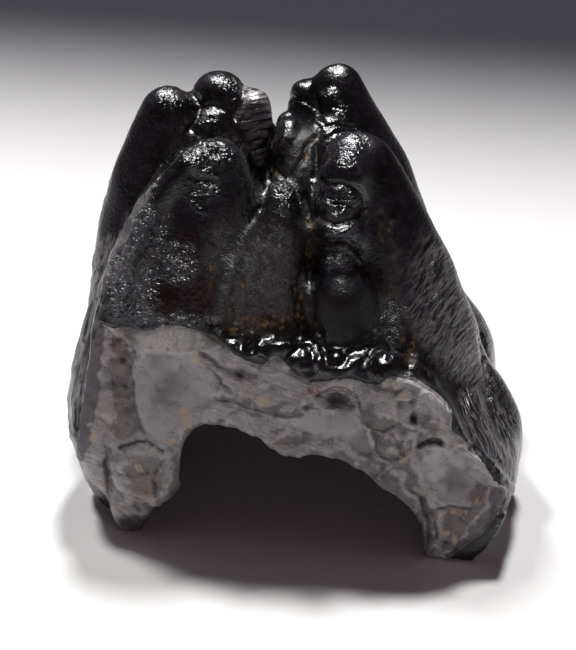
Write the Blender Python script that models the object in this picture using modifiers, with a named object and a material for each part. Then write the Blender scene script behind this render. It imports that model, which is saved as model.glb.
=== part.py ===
"""Fossil gomphothere molar: a broken piece of a high, unworn crown, with a hollow pulp cavity under it.

The piece keeps two lophs, the cross ridges of the crown. Each loph is a pair of cusp groups on either side
of the median groove. The near end is a break through the valley in front of the first loph, and the far end
is the tooth's own rounded end, with its low talon.

Frame: +Z up, +X across the crown, -Y out of the broken face. The origin is under the middle of the crown,
on the surface that the piece stands on. All measures below are in millimetres.
"""

import math

import bmesh
import bpy
from mathutils import Matrix, Vector, noise

MM = 0.001
MIDDLE = Vector((-0.5, 1.0, 0.0))  # brings the middle of the piece over the origin

# Driving dimensions.
CROWN_HEIGHT = 71.5  # floor to the tip of the highest cusp
LOPH_PITCH = 27.0  # one cross ridge to the next
LOPH_1 = -13.0  # y of the first cross ridge, at the tips
LOPH_2 = LOPH_1 + LOPH_PITCH
VALLEY = 35.0  # height of the enamel floor between the lophs
BELLY = 20.0  # height at which the crown is widest
BREAK_TOP = 38.5  # the break stops at the enamel of the valley, below this height

# How the solid is meshed.
VOXEL = 0.75
SPHERE_STEP = 1.2  # spacing of the balls that sweep out a cusp
SMOOTHING_PASSES = 7


def clear_scene():
    for thing in list(bpy.data.objects):
        bpy.data.objects.remove(thing)


def new_collection(name):
    made = bpy.data.collections.new(name)
    bpy.context.scene.collection.children.link(made)
    return made


def unit_ball():
    """The mesh that every ball copies, made once."""
    if "unit_ball" not in bpy.data.meshes:
        bm = bmesh.new()
        bmesh.ops.create_uvsphere(bm, u_segments=20, v_segments=12, radius=1)
        bm.to_mesh(bpy.data.meshes.new("unit_ball"))
        bm.free()
    return bpy.data.meshes["unit_ball"]


def add_ball(bm, centre, radii):
    ball = unit_ball().copy()
    sizes = Matrix.Diagonal((*[radius * MM for radius in radii], 1))
    ball.transform(Matrix.Translation((Vector(centre) + MIDDLE) * MM) @ sizes)
    bm.from_mesh(ball)
    bpy.data.meshes.remove(ball)


def smooth_between(before, start, end, after, t):
    """The Catmull-Rom value at t between start and end."""
    return 0.5 * (
        2 * start
        + (end - before) * t
        + (2 * before - 5 * start + 4 * end - after) * t**2
        + (3 * start - before - 3 * end + after) * t**3
    )


def sweep(bm, stations, depth=1.0):
    """Balls along a smooth line through stations of (x, y, z, radius). depth scales the radius along Y."""
    last = len(stations) - 1
    for i in range(last):
        before, start, end, after = (Vector(stations[min(max(k, 0), last)]) for k in range(i - 1, i + 3))
        steps = max(1, math.ceil((end - start).length / SPHERE_STEP))
        for step in range(steps + (i == last - 1)):
            x, y, z, r = smooth_between(before, start, end, after, step / steps)
            add_ball(bm, (x, y, z), (r, r * depth, r))


def mesh_object(name, bm, collection):
    mesh = bpy.data.meshes.new(name)
    bm.to_mesh(mesh)
    bm.free()
    made = bpy.data.objects.new(name, mesh)
    collection.objects.link(made)
    return made


def fuse(obj, passes):
    """Makes one smooth skin of overlapping balls."""
    remesh = obj.modifiers.new("one_skin", "REMESH")
    remesh.mode = "VOXEL"
    remesh.voxel_size = VOXEL * MM
    smooth = obj.modifiers.new("soften", "SMOOTH")
    smooth.factor = 0.5
    smooth.iterations = passes


def main_cusps(bm):
    """The four high cusps, one on each side of each loph, with the flanks that they stand on."""
    y = LOPH_1
    sweep(bm, [(-13.3, y, 60.5, 6.3), (-14.5, y, 55, 8.8), (-17.5, y, 45, 12.5), (-19.6, y, 35, 15.2),
               (-21.7, y, BELLY, 17.6), (-21.5, y, 9, 17), (-18, y, 0, 14)], depth=0.72)
    sweep(bm, [(10.5, y, 61.5, 6.5), (11.5, y, 56, 8.6), (13.2, y, 46, 11.8), (15.5, y, 35, 14.6),
               (19, y, BELLY, 16.6), (24, y, 10, 17), (21, y, 0, 13)], depth=0.72)
    y = LOPH_2
    sweep(bm, [(-22.5, y, 62.5, 5.3), (-23, y, 55, 8.3), (-23.3, y, 45, 11.5), (-23.5, y, 35, 14),
               (-23, y, BELLY, 16), (-22, y, 9, 15.5), (-19, y, 0, 13)], depth=0.8)
    sweep(bm, [(8, y + 2, CROWN_HEIGHT - 4.6, 4.6), (9.8, y + 2, 60, 6.4), (12, y + 2, 50, 9.6),
               (14, y + 1, 40, 11.4), (17, y, 28, 12.4), (21, y, 19, 14.4), (24.5, y, 11, 15),
               (21, y, 0, 13)], depth=0.85)


def inner_conelets(bm):
    """The lower conelets of each loph, between its high cusps and the median groove."""
    y = LOPH_2
    sweep(bm, [(-13.5, y + 3, 64.5, 5.2), (-13, y + 2, 55, 7.6), (-12, y, 45, 10), (-10, y, VALLEY, 12)])
    sweep(bm, [(-7.2, y + 1, 63.6, 3.4), (-7.6, y + 1, 55, 4.4), (-8, y, 45, 6), (-6, y, 36, 8)])
    sweep(bm, [(2.2, y + 3, 65, 3.1), (2.5, y + 2, 55, 4.6), (4, y, 45, 7)])
    y = LOPH_1
    sweep(bm, [(-2.0, y - 6, 58.6, 3.0), (-2.4, y - 7, 52, 4.6), (-4.4, y - 7, 44, 6.6),
               (-6.2, y - 6.5, 36, 8)])


def accessory_conules(bm):
    """The knobs that step down from the cusps into the valleys."""
    sweep(bm, [(1.2, 8, 57.5, 4.0), (1.5, 6, 50, 6), (3, 5, 40, 8)])
    sweep(bm, [(6.2, 9, 60.5, 3.8), (7, 6, 54, 5), (8, 2, 46, 6)])
    sweep(bm, [(-13, 3, 58.5, 3.4), (-13, 2, 50, 5.5)])
    y = LOPH_1
    sweep(bm, [(8, y - 5.3, 61.3, 4.3), (9, y - 1, 55, 5)])
    sweep(bm, [(7.2, y - 8.6, 54.7, 4.0), (8, y - 2, 48.5, 5.5)])
    sweep(bm, [(7, y - 10.5, 49.3, 2.5), (8, y - 4, 45, 4)])
    sweep(bm, [(8, y - 10, 42.2, 6.0), (8, y - 8, 34, 7), (8, y - 9, 28, 9)])


def crown_body(bm):
    """What fills the crown between the cusp groups, up to the floors of the valleys."""
    sweep(bm, [(0, -50, 15, 19.5), (0, -24, 16, 19.5), (0, 2, 18, 20), (0, 17, 18, 18)])
    for side, low in ((-1, 0), (1, 5)):
        sweep(bm, [(22 * side, -50, 15 - low, 12), (22 * side, -27, 16 - 1.3 * low, 13),
                   (24.6 * side, -14.5, 17.5 - low, 15.4), (23 * side, 0, 17 - low, 14.5),
                   (23 * side, LOPH_2, 17 - low, 15), (13 * side, 21, 15, 12.5)])
        sweep(bm, [(12 * side, -50, 18 - low / 3, 17), (12 * side, 0, 18, 17), (10 * side, 16, 17, 16)])
        sweep(bm, [(18 * side, -50, 7, 12.5), (19 * side, -24, 6, 13), (20 * side, 0, 5, 13.5),
                   (18 * side, 18, 5, 13), (0, 23, 5, 11)])


def talon(bm):
    """The low, uneven row of conules round the far end."""
    for turn, high, size in ((-72, 25, 3.8), (-50, 28.5, 4.3), (-29, 32, 4.6), (-10, 34.5, 4.8),
                             (10, 31.5, 4.0), (27, 35, 4.9), (48, 30, 4.5), (70, 25, 4.0)):
        angle = math.radians(turn)
        x, y = 28 * math.sin(angle), 13 + 16 * math.cos(angle)
        sweep(bm, [(0.95 * x, y - 1.5, high, size), (x, y, high - 8, size + 0.8), (x, y - 2, 10, size + 3)])


def crests(bm):
    """The sharper ridge down the front corner of the first left cusp, and the beads on the valley floor."""
    sweep(bm, [(-17, -16, 63.5, 2.2), (-22.5, -18, 58, 2.2), (-26, -19.5, 52, 2.4), (-29.5, -21, 43, 2.6),
               (-31, -22.5, 36, 3), (-32.2, -23, 22, 3.6), (-32.4, -22.5, 10, 3.8)])
    for x, y, z, r in ((-8.8, -28, 34.6, 2.2), (-5.2, -29, 34.2, 1.6), (-2.5, -28.5, 34.6, 2.2),
                       (0.3, -29, 33, 2.2), (2.6, -29.5, 31.8, 2.0), (6, -28.5, 33, 2.4),
                       (9.5, -29.5, 32, 2.2), (12.3, -29, 32, 2.4), (15, -29.5, 32.2, 3.3),
                       (18.2, -29, 31.6, 2.2), (21.5, -28.5, 30.2, 2.2)):
        sweep(bm, [(x, y, z, r), (x, y + 2, z - 6, r + 2)])


def make_crown(collection):
    bm = bmesh.new()
    main_cusps(bm)
    inner_conelets(bm)
    accessory_conules(bm)
    crown_body(bm)
    talon(bm)
    crests(bm)
    crown = mesh_object("molar", bm, collection)
    fuse(crown, SMOOTHING_PASSES)
    return crown


def make_pulp_cavity(collection):
    """The hollow under the crown, open below and through the break, with a horn up into each cusp group."""
    bm = bmesh.new()
    sweep(bm, [(0.5, -50, -6, 19), (0.5, -20, -5, 19.5), (0.5, 8, -5, 18)])
    sweep(bm, [(-14.5, -50, -3, 12.5), (-14, -26, -3, 13), (-12, 0, -4, 13), (-9, 8, -4, 12)])
    sweep(bm, [(10.8, -50, 1.2, 11), (11, -26, 1.5, 11.3), (11, 0, -2, 13), (9, 8, -4, 12)])
    sweep(bm, [(-13, -50, 14.7, 6), (-13, -28, 15.2, 6), (-11, LOPH_1, 15, 8)])
    sweep(bm, [(-9.5, -50, 9, 9.8), (-9.5, -30, 9.5, 10), (-11, LOPH_1, 14, 11), (-12, 2, 10, 10),
               (-11, 10, 12, 9)])
    sweep(bm, [(4, -50, 4, 12.4), (4.5, -30, 4.5, 12.6), (11, LOPH_1, 10, 11), (11, 2, 7, 10),
               (10, 10, 11, 9)])
    cavity = mesh_object("pulp_cavity", bm, collection)
    fuse(cavity, 10)
    return cavity


def bump(x, z, at_x, at_z, width, height, reach):
    """A rounded rise of the given reach, fading out over an ellipse of width by height."""
    far = ((x - at_x) / width) ** 2 + ((z - at_z) / height) ** 2
    return reach * math.exp(-far)


def break_depth(x, z):
    """y of the broken face at (x, z): a slanted plane with flaked hollows and standing lumps."""
    y = -30.4 - 0.17 * x + 0.05 * (z - 18)
    y += bump(x, z, -21, 29, 7, 9, 2.4)  # smooth hollow under the left enamel
    y += bump(x, z, -24, 10, 7, 7, -1.6)  # lump on the left leg
    y += bump(x, z, 7, 27, 5, 3, 1.6)  # pit under the beads
    y += bump(x, z, 16, 24, 5, 6, -1.2)  # round flake
    y += bump(x, z, 27, 14, 5, 6, 2.0)  # gully into the right leg
    y += 0.7 * noise.noise(Vector((x, z, 3.0)) / 7) + 0.35 * noise.noise(Vector((x, z, 9.0)) / 3)
    return y - 1.5 * max(0.0, z - BREAK_TOP)


def relief_block(name, collection, across, up, place, away):
    """A closed block. Its near side is a grid of points at place(a, b), and away moves the far side's."""
    bm = bmesh.new()
    bmesh.ops.create_grid(bm, x_segments=across, y_segments=up, size=1)
    for vert in bm.verts:
        vert.co = (Vector(place(vert.co.x, vert.co.y)) + MIDDLE) * MM
    rim = bmesh.ops.extrude_face_region(bm, geom=bm.faces[:])
    moved = [item for item in rim["geom"] if isinstance(item, bmesh.types.BMVert)]
    for vert in moved:
        away(vert.co)
    bmesh.ops.recalc_face_normals(bm, faces=bm.faces[:])
    return mesh_object(name, bm, collection)


def make_break(collection):
    """What is missing in front of the broken face."""
    def place(a, b):
        x, z = 55 * a, 25 + 35 * b
        return (x, break_depth(x, z), z)

    def away(co):
        co.y = -0.090

    return relief_block("break", collection, 60, 40, place, away)


def margin_height(x, y):
    """z of the crown's lower edge: it touches down at the two front corners and along the far end."""
    lift = 3.2 * math.exp(-(((y + 4) / 11) ** 2))
    return -0.8 + lift + 0.8 * noise.noise(Vector((x, y, 5.0)) / 9)


def make_margin(collection):
    """What is missing below the crown's ragged lower edge."""
    def place(a, b):
        x, y = 55 * a, 60 * b
        return (x, y, margin_height(x, y))

    def away(co):
        co.z = -0.060

    return relief_block("margin", collection, 50, 50, place, away)


def make_floor(collection):
    """A block with its top at z = 0, so that the piece stands on flat spots."""
    bm = bmesh.new()
    place = Matrix.Translation((0, 0, -0.05)) @ Matrix.Diagonal((0.2, 0.2, 0.1, 1))
    bmesh.ops.create_cube(bm, size=1, matrix=place)
    return mesh_object("floor_cut", bm, collection)


def cut(obj, cutter):
    boolean = obj.modifiers.new("cut_" + cutter.name, "BOOLEAN")
    boolean.operation = "DIFFERENCE"
    boolean.object = cutter
    cutter.hide_render = True
    cutter.display_type = "WIRE"


def enamel_material():
    material = bpy.data.materials.new("black_enamel")
    material.use_nodes = True
    shader = material.node_tree.nodes["Principled BSDF"]
    shader.inputs["Base Color"].default_value = (0.012, 0.012, 0.015, 1)
    shader.inputs["Roughness"].default_value = 0.25
    shader.inputs["Metallic"].default_value = 0.0
    return material


def main():
    clear_scene()
    part = new_collection("gomphothere_molar")
    cutters = new_collection("cutters")
    crown = make_crown(part)
    cut(crown, make_break(cutters))
    cut(crown, make_pulp_cavity(cutters))
    cut(crown, make_margin(cutters))
    again = crown.modifiers.new("even_skin", "REMESH")
    again.mode = "VOXEL"
    again.voxel_size = VOXEL * MM
    fewer = crown.modifiers.new("fewer_faces", "DECIMATE")
    fewer.ratio = 0.07
    cut(crown, make_floor(cutters))
    crown.data.materials.append(enamel_material())
    crown.data.shade_smooth()


main()
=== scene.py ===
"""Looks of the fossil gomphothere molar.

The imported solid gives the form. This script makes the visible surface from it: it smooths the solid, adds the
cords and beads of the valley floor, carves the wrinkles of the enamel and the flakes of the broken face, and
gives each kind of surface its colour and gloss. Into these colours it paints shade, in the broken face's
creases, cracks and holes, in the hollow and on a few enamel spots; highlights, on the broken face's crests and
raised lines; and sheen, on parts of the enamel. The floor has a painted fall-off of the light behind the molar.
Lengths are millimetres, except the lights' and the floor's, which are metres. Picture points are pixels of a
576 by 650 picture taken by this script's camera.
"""

import math

import bmesh
import bpy
import numpy as np
from mathutils import Matrix, Vector
from mathutils.bvhtree import BVHTree


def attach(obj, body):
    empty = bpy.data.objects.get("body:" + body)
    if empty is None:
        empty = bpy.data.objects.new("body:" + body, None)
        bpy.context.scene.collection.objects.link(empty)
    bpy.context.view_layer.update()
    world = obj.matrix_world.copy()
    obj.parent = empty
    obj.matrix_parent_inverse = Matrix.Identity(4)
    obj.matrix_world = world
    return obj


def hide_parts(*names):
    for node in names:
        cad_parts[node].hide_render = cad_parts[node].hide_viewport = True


MM = 0.001

# Camera.
PICTURE_WIDTH = 576
PICTURE_HEIGHT = 650
FOCAL_PIXELS = 1635.0
SENSOR = 36.0
CAMERA_TARGET = np.array((-1.5, -10.0, 32.2))
CAMERA_DISTANCE = 284.0
CAMERA_ELEVATION = math.radians(25)
CLIP_START = 10.0

# Lights and room. A soft light is (name, place, size, power in watts).
KEY_LIGHTS = (("key_left", (-0.66, 0.80, 1.80), 0.30, 26.0), ("key_right", (0.16, 0.78, 1.80), 0.30, 33.0))
GLOSS_LIGHT = ("gloss", (0.0, -0.04, 0.60), 0.20, 7.5)
LIGHTS_AIM = (0.0, -0.01, 0.03)
FILL_PLACE = (-0.08, -0.75, 0.05)
FILL_AIM = (0.0, -0.03, 0.03)
FILL_SIZE = 0.04
FILL_POWER = 1.2
FILL_SPREAD = math.radians(26)
ROOM_COLOUR = (1.0, 0.62, 0.78)
ROOM_STRENGTH = 0.045

# Floor: pale round the molar, fading to dim in front of it and beside it, and to dark behind it: a painted
# fall-off of the light.
FLOOR_HALF = 6.0
FLOOR_PALE = (0.88, 0.87, 0.865)
FLOOR_UNLIT = (0.028, 0.028, 0.035)
FLOOR_DIM = (0.22, 0.215, 0.22)
FLOOR_ROUGHNESS = 0.9
FLOOR_SHINE = 0.1
# Where the painted fall-off of the light behind the molar starts and ends.
FADE_BEHIND = (56, 325)  # mm
FADE_LEAN = 0.25  # how much further forward that fade starts per mm to the right
PICTURE_HALF = 62  # mm of floor on each side of the middle, level with the molar
PICTURE_SPREAD = 0.17  # how much more of it per mm behind
FADE_IN_FRONT = (-62, -110)  # mm
FADE_BESIDE = (2, 70)  # mm beyond the picture's sides

# Colours of the enamel, of what lies on it, and of the broken face.
ENAMEL_BLACK = (0.0040, 0.0034, 0.0050)
ENAMEL_BLUE = (0.0200, 0.0185, 0.0260)
# Dust, and painted sheen where the satin enamel shows a soft reflection.
ENAMEL_DUST_AND_SHEEN = (0.055, 0.049, 0.047)
# Painted sheen: the light grey of the right flank's strokes stands for its reflection of the floor.
STROKE_SHEEN = (0.270, 0.260, 0.270)
# Worn pale enamel and painted sheen: this grey stands partly for a reflection on the left flank, crest strip
# and net.
WORN_AND_SHEEN_GREY = (0.40, 0.388, 0.392)
STRIPE_PALE = (0.40, 0.36, 0.385)
# Painted highlight: the blue-grey on the ridges round the pits.
PIT_RIDGE_SHEEN = (0.125, 0.125, 0.145)
PLUM = (0.020, 0.0030, 0.0050)
EARTH_DARK = (0.020, 0.011, 0.006)
EARTH_GOLD = (0.42, 0.24, 0.080)
MATT_BROWN = (0.100, 0.082, 0.080)
DENTINE = (0.450, 0.412, 0.418)
DENTINE_BLUE = (0.460, 0.445, 0.465)
DENTINE_WARM = (0.540, 0.462, 0.425)
DENTINE_DARK = (0.190, 0.165, 0.175)
# The bevel's pale colour, also painted as highlights on crests and raised lines and as the light the bevel
# catches.
PALE_AND_HIGHLIGHT = (0.80, 0.73, 0.70)
ENAMEL_PURPLE = (0.115, 0.093, 0.118)
PINK = (0.46, 0.37, 0.35)
BROWN = (0.200, 0.155, 0.148)
OCHRE = (0.66, 0.50, 0.33)
RUST = (0.30, 0.12, 0.07)
# Painted shade: the dark laid into the broken face's creases, cracks and holes and into the hollow under the
# crown.
PAINTED_SHADE = (0.035, 0.026, 0.026)

# Roughness and gloss of each kind of surface. A pair is for its smoothest and its roughest spots.
POLISHED = (0.17, 0.32)
MATT_ENAMEL = (0.34, 0.60)
DUST_AND_SHEEN_ROUGHNESS = 0.46
PIT_SHEENED = 0.44
WET = 0.20
AT_THE_BREAK = 0.50
WORN_AND_SHEENED = 0.5
EARTHY = 0.7
SHADE_DULLED = 0.6
BROKEN = (0.45, 0.65)
ENAMEL_IOR = 1.6
SHINE = 0.5
DULL_SHINE = 0.06

# Surface mesh.
VOXEL = 0.40
MOST_TRIANGLES = 196000
CORD_STEP = 3.0  # pixels between the balls of a cord
WAVE = 1.6  # size of the waves that bend the edges of the painted and carved forms
WAVY_BY = 1.3  # how far they bend a line, in pixels
RAGGED_BY = 3.2  # how far they bend a patch's edge, in pixels
SEEN_WITHIN = 1.2  # how far behind what the camera sees a point still counts as seen
SMOOTHING = 14  # rounds of averaging, after which a point's old place tells whether it was sunk or stood out
# Crease mask, from how far a point sank: some earth on the enamel, painted shade on the broken face.
CREASE_DEPTH = (0.03, 0.25)
# How far a point stands out to get the painted highlight of a crest on the broken face.
CREST_HIGHLIGHT_HEIGHT = (0.02, 0.20)

# Heights of the enamel's relief.
UNEVEN = 0.22
WRINKLE = 0.13
LEAST_WRINKLE = 0.02
PIT_WRINKLE = 0.04
PIT = 0.30
KNOB = 0.26
STRAND = 0.24
FOLD = 0.16
EDGE_RISE = 0.20

# Heights of the broken face's relief.
FLAKE = 0.55
CHIP = 0.30
GRIT = 0.30
COLUMN_RISE = 0.3
COLUMN_STEP = 0.35
BEVEL_COMB = 0.12
EDGE_DROP = 0.35

# Heights of the finest relief, drawn by the material where the mask of that name is painted.
PATTERN_HEIGHTS = {
    "knobbly": 0.22, "wrinkled": 0.16, "pitted": 0.24, "stroked": 0.35, "striped": 0.45, "net": 0.12,
    "worn_and_sheen": 0.25,
}

# Broken face: a slanted plane, y = BREAK_Y + BREAK_ACROSS * x + BREAK_UP * z.
BREAK_Y = -30.4
BREAK_ACROSS = -0.17
BREAK_UP = 0.05
BREAK_REACH = (4.8, 3.6)  # how far its relief strays from that plane: at most, and surely

# The hollow under the crown, darkened with painted shade: the line along its middle, and where its sides, top
# and far end fade out.
HOLLOW_X = -2
HOLLOW_Z = -4
HOLLOW_HALF_WIDTH = (27, 23)
HOLLOW_TOP = (29, 26)
HOLLOW_BACK = (22, 19)

# The ragged lower edge: how far its normals lean down, and how high it reaches.
RIM_LEAN = (-0.35, -0.7)
RIM_TOP = (7.0, 4.0)

# Picture points round the broken face: its upper left corner, the enamel's edge and on down the right leg,
# and back along the roof of the hollow, down the left leg and up the left side.
BREAK_CORNER = ((100, 322), (112, 328), (128, 327), (143, 331), (154, 330), (162, 325), (181, 326))
BREAK_EDGE = (
    (202, 331), (215, 336), (227, 346), (233, 353), (244, 359), (256, 363), (264, 364), (275, 354),
    (284, 362), (295, 374), (304, 378), (311, 382), (327, 381), (336, 379), (354, 378), (367, 383),
    (377, 385), (388, 378), (397, 373), (416, 378), (428, 386), (438, 393), (448, 404), (452, 418),
    (451, 430), (462, 438), (475, 452), (487, 468), (494, 481), (508, 489), (503, 505), (485, 532),
    (465, 546), (445, 562),
)
BREAK_UNDERSIDE = (
    (405, 562), (405, 500), (372, 492), (321, 472), (270, 460), (215, 438), (188, 450), (192, 480),
    (165, 530), (125, 545), (109, 512), (90, 494), (75, 462), (80, 417), (86, 375), (93, 340),
)
BREAK_OUTLINE = BREAK_CORNER + BREAK_EDGE + BREAK_UNDERSIDE

# Cords and beads of enamel: (picture points, radius, how deep the middle lies). A bead has one point.
CORDS = (
    (((236, 328), (231, 336), (232, 344), (238, 351), (246, 354)), 1.3, 0.3),
    (((252, 331), (253, 338)), 1.0, 0.3),
    (((262, 347), (258, 342), (251, 342), (247, 347), (249, 353), (255, 355), (261, 353), (262, 347)),
     0.9, 0.2),
    (((267, 351), (275, 347), (288, 349), (300, 350), (308, 347)), 1.5, 0.2),
    (((300, 351), (294, 360), (289, 364)), 1.2, 0.4),
    (((302, 353), (303, 364), (308, 373)), 1.3, 0.4),
    (((318, 338), (316, 352), (321, 366), (326, 374)), 1.1, 0.4),
    (((336, 361),), 2.0, 0.9),
    (((328, 369), (337, 373), (347, 369)), 1.2, 0.3),
    (((353, 365), (364, 357), (378, 346)), 1.5, 0.4),
    (((346, 350), (358, 342), (372, 334)), 1.2, 0.4),
    (((384, 370),), 3.0, 1.6),
    (((375, 368), (378, 357), (387, 351), (396, 355), (401, 366)), 1.1, 0.2),
    (((385, 368), (387, 360), (394, 358)), 0.9, -0.2),
    (((411, 366), (411, 371)), 1.6, 0.6),
    (((421, 374),), 1.4, 0.6),
    (((216, 331), (222, 337)), 1.2, 0.6),
    (((291, 126), (289, 138), (284, 148)), 2.7, 1.6),
    (((235, 272), (231, 288), (229, 306)), 5.0, 5.0),
)

# Creases of the enamel: (picture points, width in pixels, depth, how much earth lies in them).
CREASES = (
    (((186, 87), (196, 96), (200, 107), (197, 119), (190, 131)), 3.5, 0.8, 0.1),
    (((203, 106), (214, 105), (224, 110)), 2.6, 0.5, 0.1),
    (((245, 82), (243, 94), (238, 106), (236, 118)), 3.0, 0.7, 0.1),
    (((267, 160), (268, 185), (265, 203), (257, 213), (250, 222)), 2.2, 0.6, 0.2),
    (((271, 131), (269, 150), (272, 168), (283, 178)), 2.4, 0.8, 0.5),
    (((304, 196), (309, 210), (311, 242), (305, 268), (297, 288), (298, 318)), 2.8, 0.9, 0.9),
    (((313, 137), (305, 152), (297, 166), (289, 180)), 2.0, 0.6, 0.7),
    (((382, 215), (386, 246), (388, 270), (392, 304), (406, 335), (411, 360)), 4.0, 0.5, 0.4),
    (((222, 322), (240, 328), (262, 330), (282, 332), (299, 334)), 5.0, 0.3, 0.6),
    (((314, 176), (326, 184), (345, 184), (360, 190), (366, 203)), 2.6, 0.7, 0.1),
    (((316, 216), (334, 224), (352, 219), (366, 208)), 2.8, 0.8, 0.1),
    (((314, 241), (330, 243), (348, 242), (360, 249)), 2.4, 0.6, 0.1),
    (((481, 334), (487, 352), (493, 372), (498, 392)), 2.2, 0.9, 0.0),
    (((313, 248), (310, 280), (311, 318), (322, 334)), 3.0, 0.7, 0.35),
    (((325, 126), (338, 124), (354, 127)), 2.0, 0.5, 0.0),
    (((313, 88), (316, 104), (322, 122)), 2.6, 0.8, 0.1),
    (((292, 98), (304, 100), (314, 108)), 2.4, 0.6, 0.1),
    (((318, 126), (316, 150), (316, 176)), 3.0, 0.8, 0.2),
)

# Raised lines of the enamel: (picture points, width in pixels, height).
RIDGES = (
    (((168, 164), (158, 180), (149, 196), (138, 216), (128, 244), (121, 270)), 1.4, 0.3),
    (((162, 166), (152, 182), (141, 199), (131, 213), (119, 238), (108, 271), (102, 304)), 1.8, 0.5),
    (((329, 143), (337, 136), (348, 134), (358, 139)), 1.6, 0.4),
    (((326, 136), (335, 129), (347, 128), (358, 132)), 1.4, 0.35),
    (((320, 192), (332, 186), (344, 186)), 1.8, 0.3),
    (((316, 252), (326, 246), (342, 246), (352, 252), (360, 264)), 1.8, 0.4),
    (((337, 105), (343, 107)), 1.5, 0.4),
    (((338, 113), (344, 114)), 1.5, 0.4),
    (((337, 121), (345, 121)), 1.5, 0.4),
    (((188, 181), (201, 184), (214, 192)), 1.6, 0.35),
    (((190, 202), (198, 210), (208, 212)), 1.6, 0.35),
    (((150, 214), (162, 228), (170, 246)), 1.6, 0.3),
    (((156, 246), (166, 258), (178, 266)), 1.6, 0.3),
    (((158, 268), (168, 280), (176, 284)), 1.6, 0.3),
    (((192, 166), (206, 172), (217, 176)), 2.0, 0.4),
    (((196, 153), (208, 160), (222, 163)), 2.0, 0.4),
    (((202, 143), (213, 149), (224, 149)), 2.0, 0.35),
    (((350, 217), (360, 212)), 1.5, 0.3),
    (((349, 227), (367, 218)), 1.5, 0.3),
)

# Swellings of the enamel: (picture point, radii in pixels, lean in degrees, height).
BULGES = (
    ((166, 106), (30, 26), -20, 0.6), ((207, 121), (17, 13), 15, 0.5), ((221, 84), (22, 16), 0, 0.4),
    ((330, 97), (14, 11), 0, 0.8), ((303, 90), (12, 10), 0, 0.5), ((287, 120), (13, 11), 0, 0.5),
    ((348, 156), (22, 20), 0, 0.8), ((340, 201), (28, 17), -6, 0.8), ((329, 207), (11, 7), 20, 0.5),
    ((354, 199), (9, 8), -20, 0.5), ((334, 233), (18, 8), 0, 0.6), ((338, 284), (34, 40), 0, 0.8),
    ((280, 196), (17, 22), 0, 0.6), ((216, 158), (40, 26), 0, 0.6), ((126, 300), (22, 30), 15, 0.4),
    ((172, 262), (20, 40), 15, -0.5), ((232, 275), (22, 34), 0, 0.5),
)

# Places where the outer side stands out or, with a negative height, in: (picture point, reach, height).
SWELLS = (((493, 392), 13, -1.6), ((508, 425), 9, -1.3), ((496, 497), 13, 1.5), ((503, 484), 10, 1.7))

# Hollows of the broken face and, with a negative depth, lumps: (picture point, radii in pixels, lean in
# degrees, depth).
DENTS = (
    ((172, 395), (34, 44), -12, 0.45), ((337, 399), (20, 9), 8, 1.3), ((306, 409), (6, 5), 0, 0.9),
    ((380, 408), (21, 22), -20, -0.5), ((390, 443), (16, 15), 0, -0.4), ((414, 420), (4, 6), -20, 1.1),
    ((454, 476), (20, 34), -38, 0.6), ((147, 475), (34, 30), 0, -1.0), ((105, 464), (7, 38), -10, 0.5),
    ((404, 397), (7, 6), 0, -0.6), ((268, 403), (14, 11), 5, -0.3), ((243, 372), (22, 7), 30, 0.5),
    ((447, 522), (13, 14), 0, 0.4), ((430, 410), (15, 20), -30, -0.4), ((124, 345), (7, 6), 0, -0.7),
)

# Cracks of the broken face, darkened with painted shade: (picture points, width in pixels, depth, how dark
# their painted shade is).
CRACKS = (
    (((198, 352), (208, 359), (220, 367), (240, 376)), 3.6, 0.6, 0.55),
    (((202, 358), (212, 371), (222, 384), (230, 392)), 2.2, 0.35, 0.3),
    (((214, 399), (232, 402), (250, 409), (280, 416), (302, 416)), 1.5, 0.4, 0.6),
    (((120, 447), (130, 445), (141, 442), (149, 444), (163, 452)), 1.6, 0.6, 0.75),
    (((419, 447), (426, 443), (434, 441), (443, 445)), 2.2, 1.2, 1.0),
    (((438, 508), (452, 506), (468, 509)), 1.6, 0.4, 0.5),
    (((134, 350), (132, 372), (134, 400), (140, 425), (148, 442)), 1.5, 0.35, 0.45),
    (((112, 340), (111, 372), (115, 405), (112, 430)), 2.0, 0.15, 0.2),
    (((318, 396), (330, 390), (344, 391), (358, 399)), 1.8, 0.5, 0.7),
    (((358, 402), (360, 420), (370, 429), (384, 431), (398, 424)), 1.3, 0.3, 0.3),
    (((373, 434), (375, 452), (386, 461), (402, 458)), 1.3, 0.3, 0.3),
    (((165, 460), (155, 474), (158, 492)), 1.6, 0.4, 0.5),
    (((118, 470), (134, 476), (148, 472), (160, 480)), 1.4, 0.3, 0.4),
    (((405, 488), (420, 498), (428, 520), (427, 548)), 1.8, 0.5, 0.6),
    (((421, 500), (433, 515), (437, 540)), 1.6, 0.4, 0.5),
    (((404, 459), (396, 448), (402, 440)), 1.4, 0.3, 0.4),
)

# Thin raised lines of the broken face, with painted highlights along them: (picture points, width in pixels,
# height).
PALE_LINES = (
    (((110, 329), (128, 341), (141, 349), (155, 352), (176, 353), (197, 352), (212, 350)), 1.6, 0.35),
    (((376, 478), (386, 469), (404, 459)), 1.5, 0.4),
    (((163, 326), (167, 337), (172, 350)), 1.3, 0.3),
    (((145, 352), (139, 362), (134, 366)), 1.2, 0.2),
    (((359, 415), (366, 428), (380, 433), (392, 429)), 1.2, 0.3),
    (((300, 409), (305, 403), (312, 407)), 1.2, 0.3),
    (((336, 377), (332, 386), (322, 390)), 1.2, 0.2),
)

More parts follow.
